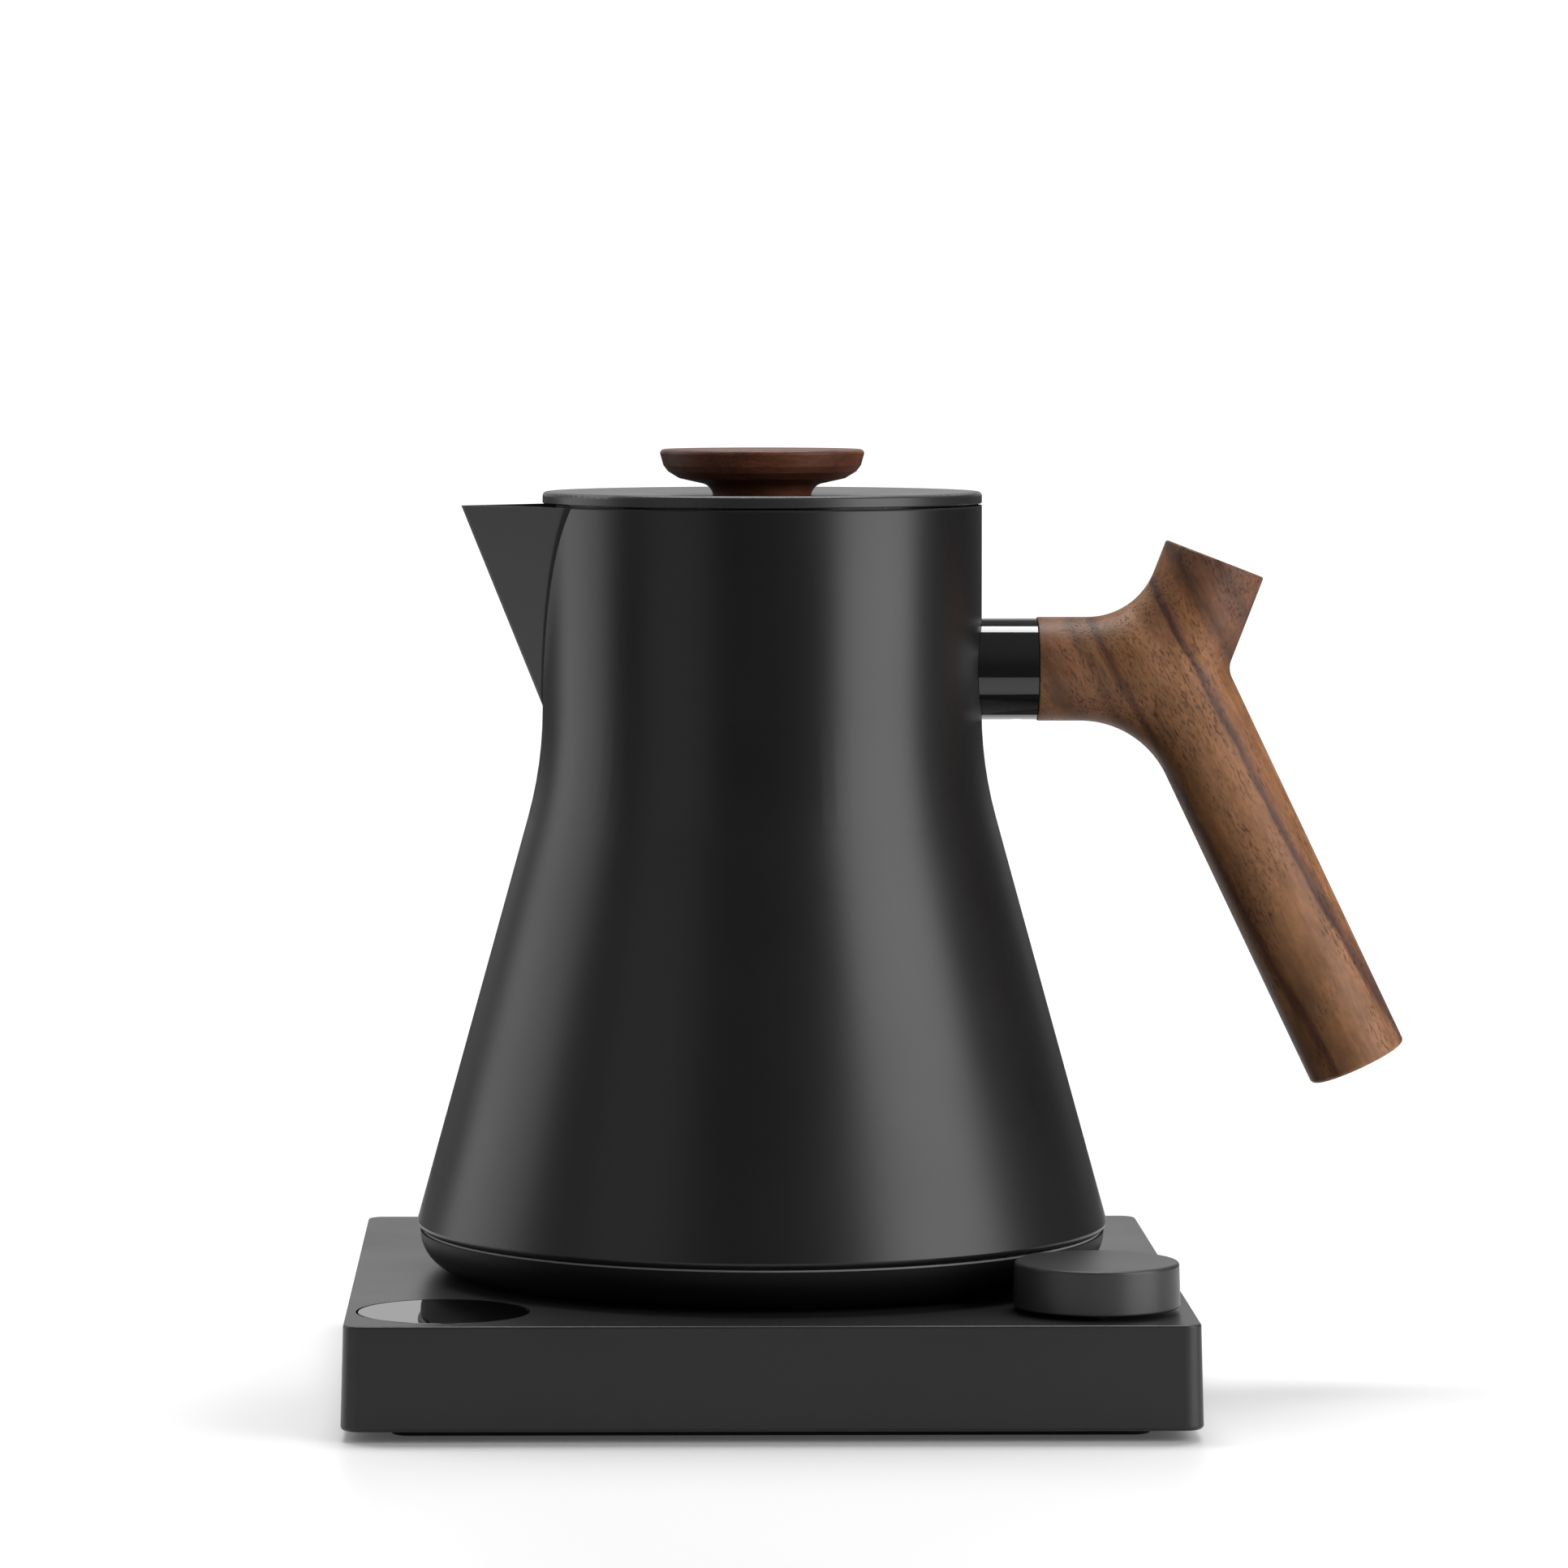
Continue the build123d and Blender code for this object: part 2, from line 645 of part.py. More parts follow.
with BuildPart() as spout:
    with BuildSketch(Plane.XZ):
        tube_face(lining, lining + spout_wall, spout_top, flare_end_z)
    revolve(axis=Axis.Z)
    wedge(-spout_flange, ridge_round + spout_flange, Mode.INTERSECT)
    wedge(0, ridge_round)
    meridian_solid(lining + spout_wall, spout_top + 1, rim_z, Mode.SUBTRACT)
    wedge(spout_wall, spout_fold, Mode.SUBTRACT, rise=2.0)
save(spout, "spout")

# ---- kettle: water floor, heater and bottom pan ----------------------------------------------
floor_top = floor_z + floor_thickness
floor_rim_z = cone_foot_z + 1.0
stud_ring_radius = pan_radius - 10.2
stud_radius = 3.5
pan_screw_diameter = 3.0
stud_low = floor_z - 8.5
pan_low = base_top + pan_bottom_gap
pan_high = rim_z - seal_thickness
pan_corner = pan_high - pan_low
pan_floor = pan_low + pan_wall
connector_radius = post_radius + free + 3.1
pan_hole_radius = connector_radius + 0.8
lip_radius = hem_inner - 0.4
lip_wall = 1.8
spreader_thickness = 2.4
spreader_radius = stud_ring_radius - stud_radius - 1.5
spreader_low = floor_z - seat - spreader_thickness
element_radius = 3.1
element_ring = spreader_radius - 12.0
element_z = spreader_low - seat - element_radius
element_sweep = 320.0
probe_ring = (connector_radius + element_ring - element_radius) / 2  # midway between the two
probe_radius = 2.5


def around(radius, angles):
    """Places on a circle about the kettle's axis."""
    return [(radius * cos(radians(a)), radius * sin(radians(a))) for a in angles]


stud_places = around(stud_ring_radius, (30, 150, 270))
probe_places = around(probe_ring, (180,))

with BuildPart() as heater_plate:
    with BuildSketch(Plane.XZ):
        with BuildLine():
            plate_gap = body_wall + seat
            rim_wall = 1.0
            Polyline(
                (0, floor_z),
                (cone_radius(floor_z, plate_gap + rim_wall), floor_z),
                (cone_radius(floor_rim_z, plate_gap + rim_wall), floor_rim_z),
                (cone_radius(floor_rim_z, plate_gap), floor_rim_z),
                (cone_radius(floor_top, plate_gap), floor_top),
                (0, floor_top),
                close=True,
            )
        make_face()
    revolve(axis=Axis.Z)
    posts(stud_places, stud_radius, stud_low, floor_z)
    posts(stud_places, pan_screw_diameter / 2 + thread, stud_low - 1, floor_z - 1, Mode.SUBTRACT)
    posts(probe_places, probe_radius + 0.6, floor_z - 1, floor_top + 1, Mode.SUBTRACT)
save(heater_plate, "heater_plate")

with BuildPart() as heat_spreader:
    posts([(0, 0)], spreader_radius, spreader_low, floor_z - seat)
    posts(probe_places, probe_radius + 0.6, spreader_low - 1, floor_z, Mode.SUBTRACT)
save(heat_spreader, "heat_spreader")

element_start = (360 - element_sweep) / 2
with BuildPart() as heating_element:
    with BuildSketch(Plane.XZ.rotated((0, 0, element_start))):
        with Locations((element_ring, element_z)):
            Circle(element_radius)
    revolve(axis=Axis.Z, revolution_arc=element_sweep)
save(heating_element, "heating_element")

with BuildPart() as element_terminals:
    terminal_places = around(element_ring, (element_start - 5, 5 - element_start))
    posts(terminal_places, 2.0, pan_floor + 1.0, spreader_low - seat)
save(element_terminals, "element_terminals")

with BuildPart() as thermal_cutouts:
    cutout_places = around(probe_ring, (90, 270))
    posts(cutout_places, 7.4, spreader_low - seat - 4.0, spreader_low - seat)
    posts(cutout_places, 2.6, spreader_low - 6.0, spreader_low - 4.0)
save(thermal_cutouts, "thermal_cutouts")

with BuildPart() as temperature_probe:
    posts(probe_places, probe_radius, pan_floor + 2.0, floor_top + 6.8)
    fillet(temperature_probe.edges().group_by(Axis.Z)[-1], probe_radius - 0.1)
save(temperature_probe, "temperature_probe")

with BuildPart() as probe_seal:
    posts(probe_places, probe_radius + 2.3, floor_top + seat, floor_top + 1.6)
    posts(probe_places, probe_radius + press, floor_top - 1, floor_top + 3, Mode.SUBTRACT)
save(probe_seal, "probe_seal")

pan_boss_radius = 5.0
pan_head_height = 0.55 * pan_screw_diameter
pan_head_high = pan_low + 0.7 + pan_head_height

with BuildPart() as bottom_pan:
    with BuildSketch(Plane.XZ):
        with BuildLine():
            corner_x = pan_radius - pan_corner
            lip_foot = pan_high - pan_wall - 0.4
            Line((pan_hole_radius, pan_low), (corner_x, pan_low))
            RadiusArc((corner_x, pan_low), (pan_radius, pan_high), -pan_corner)
            Polyline(
                (pan_radius, pan_high),
                (lip_radius, pan_high),
                (lip_radius, pan_high + 3.0),
                (lip_radius - lip_wall, pan_high + 3.0),
                (lip_radius - lip_wall, lip_foot),
                (corner_x, pan_floor),
                (pan_hole_radius, pan_floor),
                (pan_hole_radius, pan_low),
            )
        make_face()
    revolve(axis=Axis.Z)
    posts(stud_places, pan_boss_radius, pan_low + pan_wall / 2, stud_low - seat)
    posts(stud_places, pan_screw_diameter / 2 + screw_hole, pan_low - 1, stud_low + 1, Mode.SUBTRACT)
    posts(stud_places, pan_screw_diameter + screw_hole, pan_low - 1, pan_head_high + seat, Mode.SUBTRACT)
save(bottom_pan, "bottom_pan")

with BuildPart() as pan_seal:
    ring(pan_radius - 0.5, hem_inner + 0.2, pan_high + press, rim_z - press)
save(pan_seal, "pan_seal")

with BuildPart() as pan_screws:
    pan_head_screws(stud_places, pan_screw_diameter, pan_head_high - pan_head_height, floor_z - 2)
save(pan_screws, "pan_screws")

# ---- kettle: cordless connector --------------------------------------------------------------
cavity_radius = post_radius + free + 0.5
cavity_top = post_top + 0.4
connector_top = spreader_low - 0.4
skirt_low = base_top + 0.8

with BuildPart() as kettle_connector:
    posts([(0, 0)], connector_radius, skirt_low, connector_top)
    posts([(0, 0)], cavity_radius, skirt_low - 1, cavity_top, Mode.SUBTRACT)
    fillet(kettle_connector.edges().filter_by(GeomType.CIRCLE).group_by(Axis.Z)[0], 0.4)
    posts([(0, 0)], contact_pin_radius + press, cavity_top - 1, cavity_top + 2, Mode.SUBTRACT)
    for ring_radius in (inner_ring_radius, outer_ring_radius):
        ring(
            ring_radius + contact_wall / 2 + press,
            ring_radius - contact_wall / 2 - press,
            cavity_top - 1,
            cavity_top + 2,
            Mode.SUBTRACT,
        )
save(kettle_connector, "kettle_connector")

contact_low = slot_low + contact_pad + seat + free
with BuildPart() as connector_pin:
    posts([(0, 0)], contact_pin_radius, contact_low, cavity_top + 1.9)
    fillet(connector_pin.edges().group_by(Axis.Z)[0], 1.0)
save(connector_pin, "connector_pin")

with BuildPart() as connector_rings:
    for ring_radius in (inner_ring_radius, outer_ring_radius):
        ring(
            ring_radius + contact_wall / 2,
            ring_radius - contact_wall / 2,
            contact_low,
            cavity_top + 1.9,
        )
save(connector_rings, "connector_rings")

# ---- kettle: collar, stud and insert between body and handle ---------------------------------
collar_radius = collar_diameter / 2
collar_end = neck_radius + collar_length
joint_x = collar_end + arm_length
body_gap_radius = neck_radius + seat


def along_handle(radius, start, end, mode=Mode.ADD):
    """A cylinder on the collar's axis between two values of X."""
    with BuildSketch(Plane.YZ.offset(start)) as section:
        with Locations((0, handle_z)):
            Circle(radius)
    extrude(section.sketch, amount=end - start, mode=mode)


stud_flange_radius = collar_bore / 2 - 0.6
stud_end = collar_end + 19.0
saddle_start = neck_radius - 8.0

with BuildPart() as handle_stud:
    along_handle(stud_flange_radius, saddle_start, neck_radius + 2.6)
    along_handle(stud_diameter / 2, saddle_start, stud_end)
    chamfer(handle_stud.edges().group_by(Axis.X)[-1], 0.6)
    posts([(0, 0)], body_gap_radius, handle_z - 20, handle_z + 20, Mode.SUBTRACT)
save(handle_stud, "handle_stud")

grub_diameter = 3.0
grub_x = collar_end - 4.2
with BuildPart() as handle_collar:
    along_handle(collar_radius, saddle_start, collar_end - seat)
    along_handle(collar_bore / 2, saddle_start - 1, collar_end - 8.0, Mode.SUBTRACT)
    along_handle(stud_diameter / 2 + screw_hole, saddle_start, collar_end + 1, Mode.SUBTRACT)
    posts([(0, 0)], body_gap_radius, handle_z - 20, handle_z + 20, Mode.SUBTRACT)
    grub_place = [(grub_x, 0)]
    posts(grub_place, grub_diameter / 2 + thread, handle_z - 20, handle_z, Mode.SUBTRACT)
save(handle_collar, "handle_collar")

with BuildPart() as collar_screw:
    grub_low = handle_z - collar_radius + 0.4
    posts(grub_place, grub_diameter / 2, grub_low, handle_z - stud_diameter / 2 - seat)
save(collar_screw, "collar_screw")

insert_radius = stud_diameter / 2 + 1.6
insert_end = collar_end + 16.0
with BuildPart() as handle_insert:
    along_handle(insert_radius, collar_end + seat, insert_end)
    along_handle(stud_diameter / 2 + thread, collar_end - 1, insert_end + 1, Mode.SUBTRACT)
save(handle_insert, "handle_insert")

# ---- kettle: walnut handle, three round limbs that meet in one piece of wood ------------------
joint = Vector(joint_x, handle_z)
horn_way = Vector(sin(radians(horn_lean)), cos(radians(horn_lean)))
grip_way = Vector(sin(radians(grip_lean)), -cos(radians(grip_lean)))


def left_of(way):
    """The direction a quarter turn anticlockwise from a limb's own direction."""
    return Vector(-way.Y, way.X)


def crossing(start_a, way_a, start_b, way_b):
    """Where two edge lines of neighbouring limbs meet."""
    gap = start_b - start_a
    turn = way_a.X * way_b.Y - way_a.Y * way_b.X
    return start_a + way_a * ((gap.X * way_b.Y - gap.Y * way_b.X) / turn)


arm_half = arm_diameter / 2
horn_side = left_of(horn_way) * (horn_diameter / 2)
grip_side = left_of(grip_way) * (grip_diameter / 2)
arm_way = Vector(-1, 0)
arm_top = Vector(joint_x, handle_z + arm_half)
arm_under = Vector(joint_x, handle_z - arm_half)
horn_end = joint + horn_way * horn_length
grip_end = joint + grip_way * grip_length
fork_top = crossing(arm_top, arm_way, joint + horn_side, horn_way)
fork_back = crossing(joint - horn_side, horn_way, joint + grip_side, grip_way)
fork_under = crossing(arm_under, arm_way, joint - grip_side, grip_way)
arm_start = collar_end + seat

with BuildPart() as handle:
    with BuildSketch(Plane.XZ):
        with BuildLine():
            FilletPolyline(
                (arm_start, arm_top.Y),
                fork_top,
                horn_end + horn_side,
                horn_end - horn_side,
                fork_back,
                grip_end + grip_side,
                grip_end - grip_side,
                fork_under,
                (arm_start, arm_under.Y),
                radius=[0, fork_radius_top, 0, 0, fork_radius_back, 0, 0, fork_radius_under, 0],
                close=True,
            )
        make_face()
    extrude(amount=grip_diameter / 2, both=True)
    long_edges = handle.faces().filter_by(Axis.Y).edges()
    limb_ends = [Vector(arm_start, handle_z), horn_end, grip_end]
    long_edges = long_edges.filter_by(
        lambda edge: all((Vector((edge @ 0.5).X, (edge @ 0.5).Z) - end).length > 1.0 for end in limb_ends)
    )
    fillet(long_edges, handle_round)
    along_handle(insert_radius + press, arm_start - 1, insert_end + seat, Mode.SUBTRACT)
    along_handle(stud_diameter / 2 + 0.5, arm_start, stud_end + 0.5, Mode.SUBTRACT)
save(handle, "handle")

# ---- lid -------------------------------------------------------------------------------------
lid_low = body_top + lid_gap
lid_rim_top = lid_low + lid_thickness
knob_top = lid_rim_top + knob_rise
lid_centre_top = lid_rim_top - lid_dish
dish_edge = neck_radius - 2.4
rim_wall_inner = neck_radius - body_wall
plug_radius = neck_radius - body_wall - plug_clearance
gasket_radius = neck_radius - body_wall - gasket_clearance
plug_top = lid_centre_top - lid_sheet - seat
plug_low = plug_top - plug_depth
plug_sheet = 0.8
screw_radius = knob_screw_diameter / 2
washer_thickness = 0.8

with BuildPart() as lid_top:
    with BuildSketch(Plane.XZ):
        with BuildLine():
            SagittaArc((0, lid_centre_top), (dish_edge, lid_rim_top), -0.2)
            Polyline(
                (dish_edge, lid_rim_top),
                (neck_radius - lid_edge, lid_rim_top),
            )
            edge_low = lid_rim_top - lid_edge
            RadiusArc((neck_radius - lid_edge, lid_rim_top), (neck_radius, edge_low), lid_edge)
            Polyline(
                (neck_radius, edge_low),
                (neck_radius, lid_low + 0.2),
                (neck_radius - 0.2, lid_low),
                (rim_wall_inner, lid_low),
                (rim_wall_inner, lid_rim_top - lid_sheet),
                (dish_edge, lid_rim_top - lid_sheet),
                (plug_radius - 1.5, lid_centre_top - lid_sheet),
                (0, lid_centre_top - lid_sheet),
                (0, lid_centre_top),
            )
        make_face()
    revolve(axis=Axis.Z)
    posts([(0, 0)], screw_radius + screw_hole, lid_low - 2, lid_rim_top + 2, Mode.SUBTRACT)
save(lid_top, "lid_top")

with BuildPart() as lid_plug:
    posts([(0, 0)], plug_radius, plug_low, plug_top)
    fillet(lid_plug.edges().group_by(Axis.Z)[0], 1.6)
    posts([(0, 0)], plug_radius - plug_sheet, plug_low + plug_sheet, plug_top + 1, Mode.SUBTRACT)
    posts([(0, 0)], screw_radius + screw_hole, plug_low - 1, plug_low + 2, Mode.SUBTRACT)
save(lid_plug, "lid_plug")

gasket_low = plug_low + 2.6
with BuildPart() as lid_gasket:
    ring(gasket_radius, plug_radius + press, gasket_low, gasket_low + 3.4)
    chamfer(lid_gasket.edges().filter_by(GeomType.CIRCLE).group_by(SortBy.RADIUS)[-1], 0.3)
save(lid_gasket, "lid_gasket")

with BuildPart() as knob_washer:
    ring(screw_radius + 4.0, screw_radius + screw_hole, plug_low - seat - washer_thickness, plug_low - seat)
save(knob_washer, "knob_washer")

knob_low = lid_centre_top + seat + lid_dish * (knob_seat_radius / dish_edge) ** 2
knob_insert_radius = screw_radius + 1.6
with BuildPart() as lid_knob:
    with BuildSketch(Plane.XZ):
        with BuildLine():
            Line((0, knob_top), (knob_radius - knob_edge, knob_top))
            RadiusArc((knob_radius - knob_edge, knob_top), (knob_radius, knob_top - knob_edge), knob_edge)
            underside = [(knob_radius - inset, knob_top - depth) for inset, depth in knob_underside]
            Polyline((knob_radius, knob_top - knob_edge), *underside)
            RadiusArc(underside[-1], (knob_seat_radius, knob_low), -knob_cove)
            Polyline((knob_seat_radius, knob_low), (0, knob_low), (0, knob_top))
        make_face()
    revolve(axis=Axis.Z)
    posts([(0, 0)], knob_insert_radius + press, knob_low - 1, knob_low + 6.0, Mode.SUBTRACT)
save(lid_knob, "lid_knob")

with BuildPart() as knob_insert:
    posts([(0, 0)], knob_insert_radius, knob_low + seat, knob_low + 6.0 - seat)
    posts([(0, 0)], screw_radius + thread, knob_low - 1, knob_low + 7.0, Mode.SUBTRACT)
save(knob_insert, "knob_insert")

with BuildPart() as knob_screw:
    head_top = plug_low - 2 * seat - washer_thickness
    posts([(0, 0)], 0.95 * knob_screw_diameter, head_top - 0.55 * knob_screw_diameter, head_top)
    posts([(0, 0)], screw_radius, head_top, knob_low + 5.4)
    fillet(knob_screw.edges().group_by(Axis.Z)[0], 0.8)
save(knob_screw, "knob_screw")
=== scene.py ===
import bmesh
import bpy
from collections import namedtuple
from math import acos, cos, pi, radians, sin
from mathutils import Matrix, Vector


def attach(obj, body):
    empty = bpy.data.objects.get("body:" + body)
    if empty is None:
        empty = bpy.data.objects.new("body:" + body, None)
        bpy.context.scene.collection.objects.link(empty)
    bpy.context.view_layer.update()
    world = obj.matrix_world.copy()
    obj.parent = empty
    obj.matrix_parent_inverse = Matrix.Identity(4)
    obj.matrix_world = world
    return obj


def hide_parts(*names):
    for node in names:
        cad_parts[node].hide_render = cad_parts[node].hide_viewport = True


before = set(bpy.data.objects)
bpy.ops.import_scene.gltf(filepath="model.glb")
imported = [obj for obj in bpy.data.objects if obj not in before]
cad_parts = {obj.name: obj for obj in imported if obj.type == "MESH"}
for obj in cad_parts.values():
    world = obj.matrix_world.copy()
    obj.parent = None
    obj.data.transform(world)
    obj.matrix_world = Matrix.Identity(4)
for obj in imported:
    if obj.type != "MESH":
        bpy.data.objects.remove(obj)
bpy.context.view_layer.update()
mm = 0.001

# ---- Camera and studio -----------------------------------------------------------------------
# A long lens a metre and a half in front of the dial side, a little above the lid.  The kettle
# stands between two tall soft boxes, with a weak one in front on the left, a long strip light
# overhead and two glows behind.
eye = Vector((-0.03765, -1.4407, 0.21955))
aim = Vector((0.01108, 1.0, -0.03134))
camera_data = bpy.data.cameras.new("camera")
camera_data.sensor_width = 36.0
camera_data.lens = 158.01
camera_data.shift_x = 0.08
camera_data.shift_y = -0.15
camera = bpy.data.objects.new("camera", camera_data)
camera.location = eye
camera.rotation_euler = aim.to_track_quat("-Z", "Y").to_euler()
bpy.context.collection.objects.link(camera)
bpy.context.scene.camera = camera
bpy.context.scene.view_settings.view_transform = "Standard"


def on_compass(bearing, distance, height):
    """A place round the kettle: bearing 0 is towards the camera, positive to the handle side."""
    return Vector((distance * sin(radians(bearing)), -distance * cos(radians(bearing)), height))


def soft_box(name, place, target, width, height, radiance):
    """A rectangular lamp panel turned to a target; radiance 1 looks paper white."""
    lamp = bpy.data.lights.new(name, "AREA")
    lamp.shape = "RECTANGLE"
    lamp.size = width
    lamp.size_y = height
    lamp.energy = radiance * pi * width * height
    holder = bpy.data.objects.new(name, lamp)
    holder.location = place
    holder.rotation_euler = (target - place).to_track_quat("-Z", "Y").to_euler()
    bpy.context.collection.objects.link(holder)


heart = Vector((0.0, 0.0, 0.13))
foot = Vector((0.0, 0.0, 0.0))
soft_box("left_box", on_compass(-108, 0.80, 0.30), heart, 0.62, 0.9, 1.55)
soft_box("left_fill", on_compass(-46, 1.20, 0.30), heart, 0.80, 0.9, 0.48)
soft_box("right_box", on_compass(60, 0.85, 0.30), heart, 0.70, 0.9, 4.2)
soft_box("strip_overhead", Vector((0.0, 0.30, 1.25)), heart, 1.0, 0.42, 13.0)
soft_box("rear_glow_left", on_compass(-142, 1.0, 0.95), foot, 0.7, 0.5, 1.5)
soft_box("rear_glow_right", on_compass(142, 1.0, 0.95), foot, 0.7, 0.5, 1.5)


class Signal:
    """A value on its way through a node tree; arithmetic on it adds Math nodes."""

    def __init__(self, network, socket):
        self.network = network
        self.socket = socket

    def _math(self, operation, first, second):
        return self.network.node("ShaderNodeMath", {"operation": operation}, {0: first, 1: second})

    def __add__(self, other):
        return self._math("ADD", self, other)

    def __radd__(self, other):
        return self._math("ADD", other, self)

    def __sub__(self, other):
        return self._math("SUBTRACT", self, other)

    def __rsub__(self, other):
        return self._math("SUBTRACT", other, self)

    def __mul__(self, other):
        return self._math("MULTIPLY", self, other)

    def __rmul__(self, other):
        return self._math("MULTIPLY", other, self)


class Network:
    """The nodes of one material or world."""

    def __init__(self, tree):
        self.tree = tree

    def feed(self, socket, value):
        """Link a signal to a socket, or set it to a number, a vector or a colour."""
        if isinstance(value, Signal):
            self.tree.links.new(value.socket, socket)
        elif hasattr(value, "__len__") and len(value) == 3 and len(socket.default_value) == 4:
            socket.default_value = (*value, 1.0)
        else:
            socket.default_value = value

    def node(self, kind, settings=None, inputs=None, output=0):
        """Add a node, apply its settings, feed its sockets, and return one output as a signal."""
        made = self.tree.nodes.new(kind)
        for label, value in (settings or {}).items():
            if label == "stops":
                self._set_stops(made.color_ramp, value)
            else:
                setattr(made, label, value)
        for label, value in (inputs or {}).items():
            self.feed(made.inputs[label], value)
        return Signal(self, made.outputs[output])

    def _set_stops(self, ramp, stops):
        while len(ramp.elements) > 1:
            ramp.elements.remove(ramp.elements[-1])
        ramp.elements[0].position = stops[0][0]
        ramp.elements[0].color = (*stops[0][1], 1.0)
        for position, colour in stops[1:]:
            ramp.elements.new(position).color = (*colour, 1.0)

    def fit(self, value, low, high, to_low=0.0, to_high=1.0):
        """Stretch one range of a value to another, with its ends held."""
        inputs = {0: value, 1: low, 2: high, 3: to_low, 4: to_high}
        return self.node("ShaderNodeMapRange", {"clamp": True}, inputs)


# The room is dim in front and at the sides, and the backdrop behind the kettle is paper white.
sky = bpy.data.worlds.new("studio_room")
sky.use_nodes = True
bpy.context.scene.world = sky
room = Network(sky.node_tree)
heading = room.node("ShaderNodeTexCoord", output="Generated")
backwards = room.node("ShaderNodeSeparateXYZ", {}, {0: heading}, "Y")
upwards = room.node("ShaderNodeSeparateXYZ", {}, {0: heading}, "Z")
backdrop = room.fit(backwards, 0.80, 0.97) * room.fit(upwards, -0.02, 0.06, 0.0, 0.75)
dome = room.fit(upwards, 0.1, 0.7, 0.06, 0.22)
white = (1.0, 1.0, 1.0)
walls = room.node("ShaderNodeBackground", {}, {"Color": white, "Strength": backdrop + dome})
paper = room.node("ShaderNodeBackground", {}, {"Color": white, "Strength": 1.1})
seen = room.node("ShaderNodeLightPath", output="Is Camera Ray")
shown = room.node("ShaderNodeMixShader", {}, {0: seen, 1: walls, 2: paper})
room.feed(sky.node_tree.nodes["World Output"].inputs["Surface"], shown)


# ---- Table -----------------------------------------------------------------------------------
# A round table top, lacquered white and satin, which only catches the soft contact shadow.
class Finish(Network):
    """A surface finish being made: one Principled shader and the nodes that feed it."""

    def __init__(self, name, **uniform):
        self.material = bpy.data.materials.new(name)
        self.material.use_nodes = True
        super().__init__(self.material.node_tree)
        self.shader = self.tree.nodes["Principled BSDF"]
        for label, value in uniform.items():
            self.set(label.replace("_", " "), value)

    def set(self, label, value):
        """Set one input of the shader, to a number, a colour or a signal."""
        self.feed(self.shader.inputs[label], value)

    def place(self):
        """The point on the piece in metres; it stays with the piece when that moves."""
        return self.node("ShaderNodeTexCoord", output="Object")

    def height(self):
        """The height of that point."""
        return self.node("ShaderNodeSeparateXYZ", {}, {0: self.place()}, "Z")

    def noise(self, scale, detail=2.0, roughness=0.5, where=None):
        inputs = {"Vector": where or self.place(), "Scale": scale, "Detail": detail, "Roughness": roughness}
        return self.node("ShaderNodeTexNoise", {}, inputs)

    def mix(self, factor, first, second):
        """Blend two colours."""
        return self.node("ShaderNodeMix", {"data_type": "RGBA"}, {0: factor, 6: first, 7: second}, 2)

    def tinted(self, colour, tint):
        """Multiply two colours."""
        settings = {"data_type": "RGBA", "blend_type": "MULTIPLY"}
        return self.node("ShaderNodeMix", settings, {0: 1.0, 6: colour, 7: tint}, 2)

    def shade(self, colour, value):
        """Multiply a colour by a value."""
        return self.tinted(colour, self.node("ShaderNodeCombineColor", {}, {0: value, 1: value, 2: value}))

    def bump(self, height, distance):
        return self.node("ShaderNodeBump", {}, {"Height": height, "Distance": distance})


table_finish = Finish("white_table", Roughness=0.4, Specular_IOR_Level=0.6, Emission_Strength=0.05)
table_finish.set("Base Color", (0.76, 0.76, 0.76))
table_finish.set("Emission Color", white)
table_radius = 0.50
rim_steps = 96
table_mesh = bpy.data.meshes.new("table_top")
table_rim = [2 * pi * i / rim_steps for i in range(rim_steps)]
rim_points = [(table_radius * cos(turn), table_radius * sin(turn), 0.0) for turn in table_rim]
table_mesh.from_pydata(rim_points, [], [tuple(range(rim_steps))])
table_mesh.materials.append(table_finish.material)
table = bpy.data.objects.new("table_top", table_mesh)
bpy.context.collection.objects.link(table)


# ---- Base: housing ---------------------------------------------------------------------------
# A shallow square tray, open below, moulded in black and finished satin with a very fine grain.
# Its walls lean in a little towards the top, and all its edges are softly rounded.
def srgb(*display):
    """A colour given in 0-255 display values, as the linear values that shaders take."""
    shares = [value / 255 for value in display]
    return tuple(v / 12.92 if v < 0.0404 else ((v + 0.055) / 1.055) ** 2.4 for v in shares)


def coated(name, colour, roughness, grain, depth, specular=0.5, painted_shade=None):
    """Coating with a fine orange-peel grain, and gloss that wanders a little over the surface.
    grain and depth are the width and height of its bumps in metres.  The optional mask function gives a
    signal from the finish, 1 where shade is painted: the colour is darkened there and the roughness raised."""
    finish = Finish(name, Specular_IOR_Level=specular)
    cloud = finish.noise(38.0, 3.0)
    speck = finish.noise(1.0 / grain, 2.0, 0.6)
    worn = finish.fit(finish.noise(9.0, 4.0, 0.65), 0.35, 0.65, -0.025, 0.025)
    coat = finish.mix(cloud, [c * 0.88 for c in colour], [c * 1.12 for c in colour])
    gloss = cloud * 0.04 + speck * 0.06 + worn + (roughness - 0.05)
    # Painted shade: where the mask is 1 the colour is darkened; the roughness also rises there.
    if painted_shade:
        shade_mask = painted_shade(finish)
        coat = finish.shade(coat, 1.0 - shade_mask * 0.8)
        gloss = gloss + shade_mask * 0.5
    finish.set("Base Color", coat)
    finish.set("Roughness", gloss)
    finish.set("Normal", finish.bump(speck, depth))
    return finish.material


def wear(material, *nodes):
    """Give CAD pieces their finish."""
    for node in nodes:
        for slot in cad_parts[node].material_slots:
            slot.material = material


base_satin = coated("base_satin", srgb(33, 33, 33), 0.36, 0.0005, 0.000012, specular=0.35)
wear(base_satin, "base_housing")

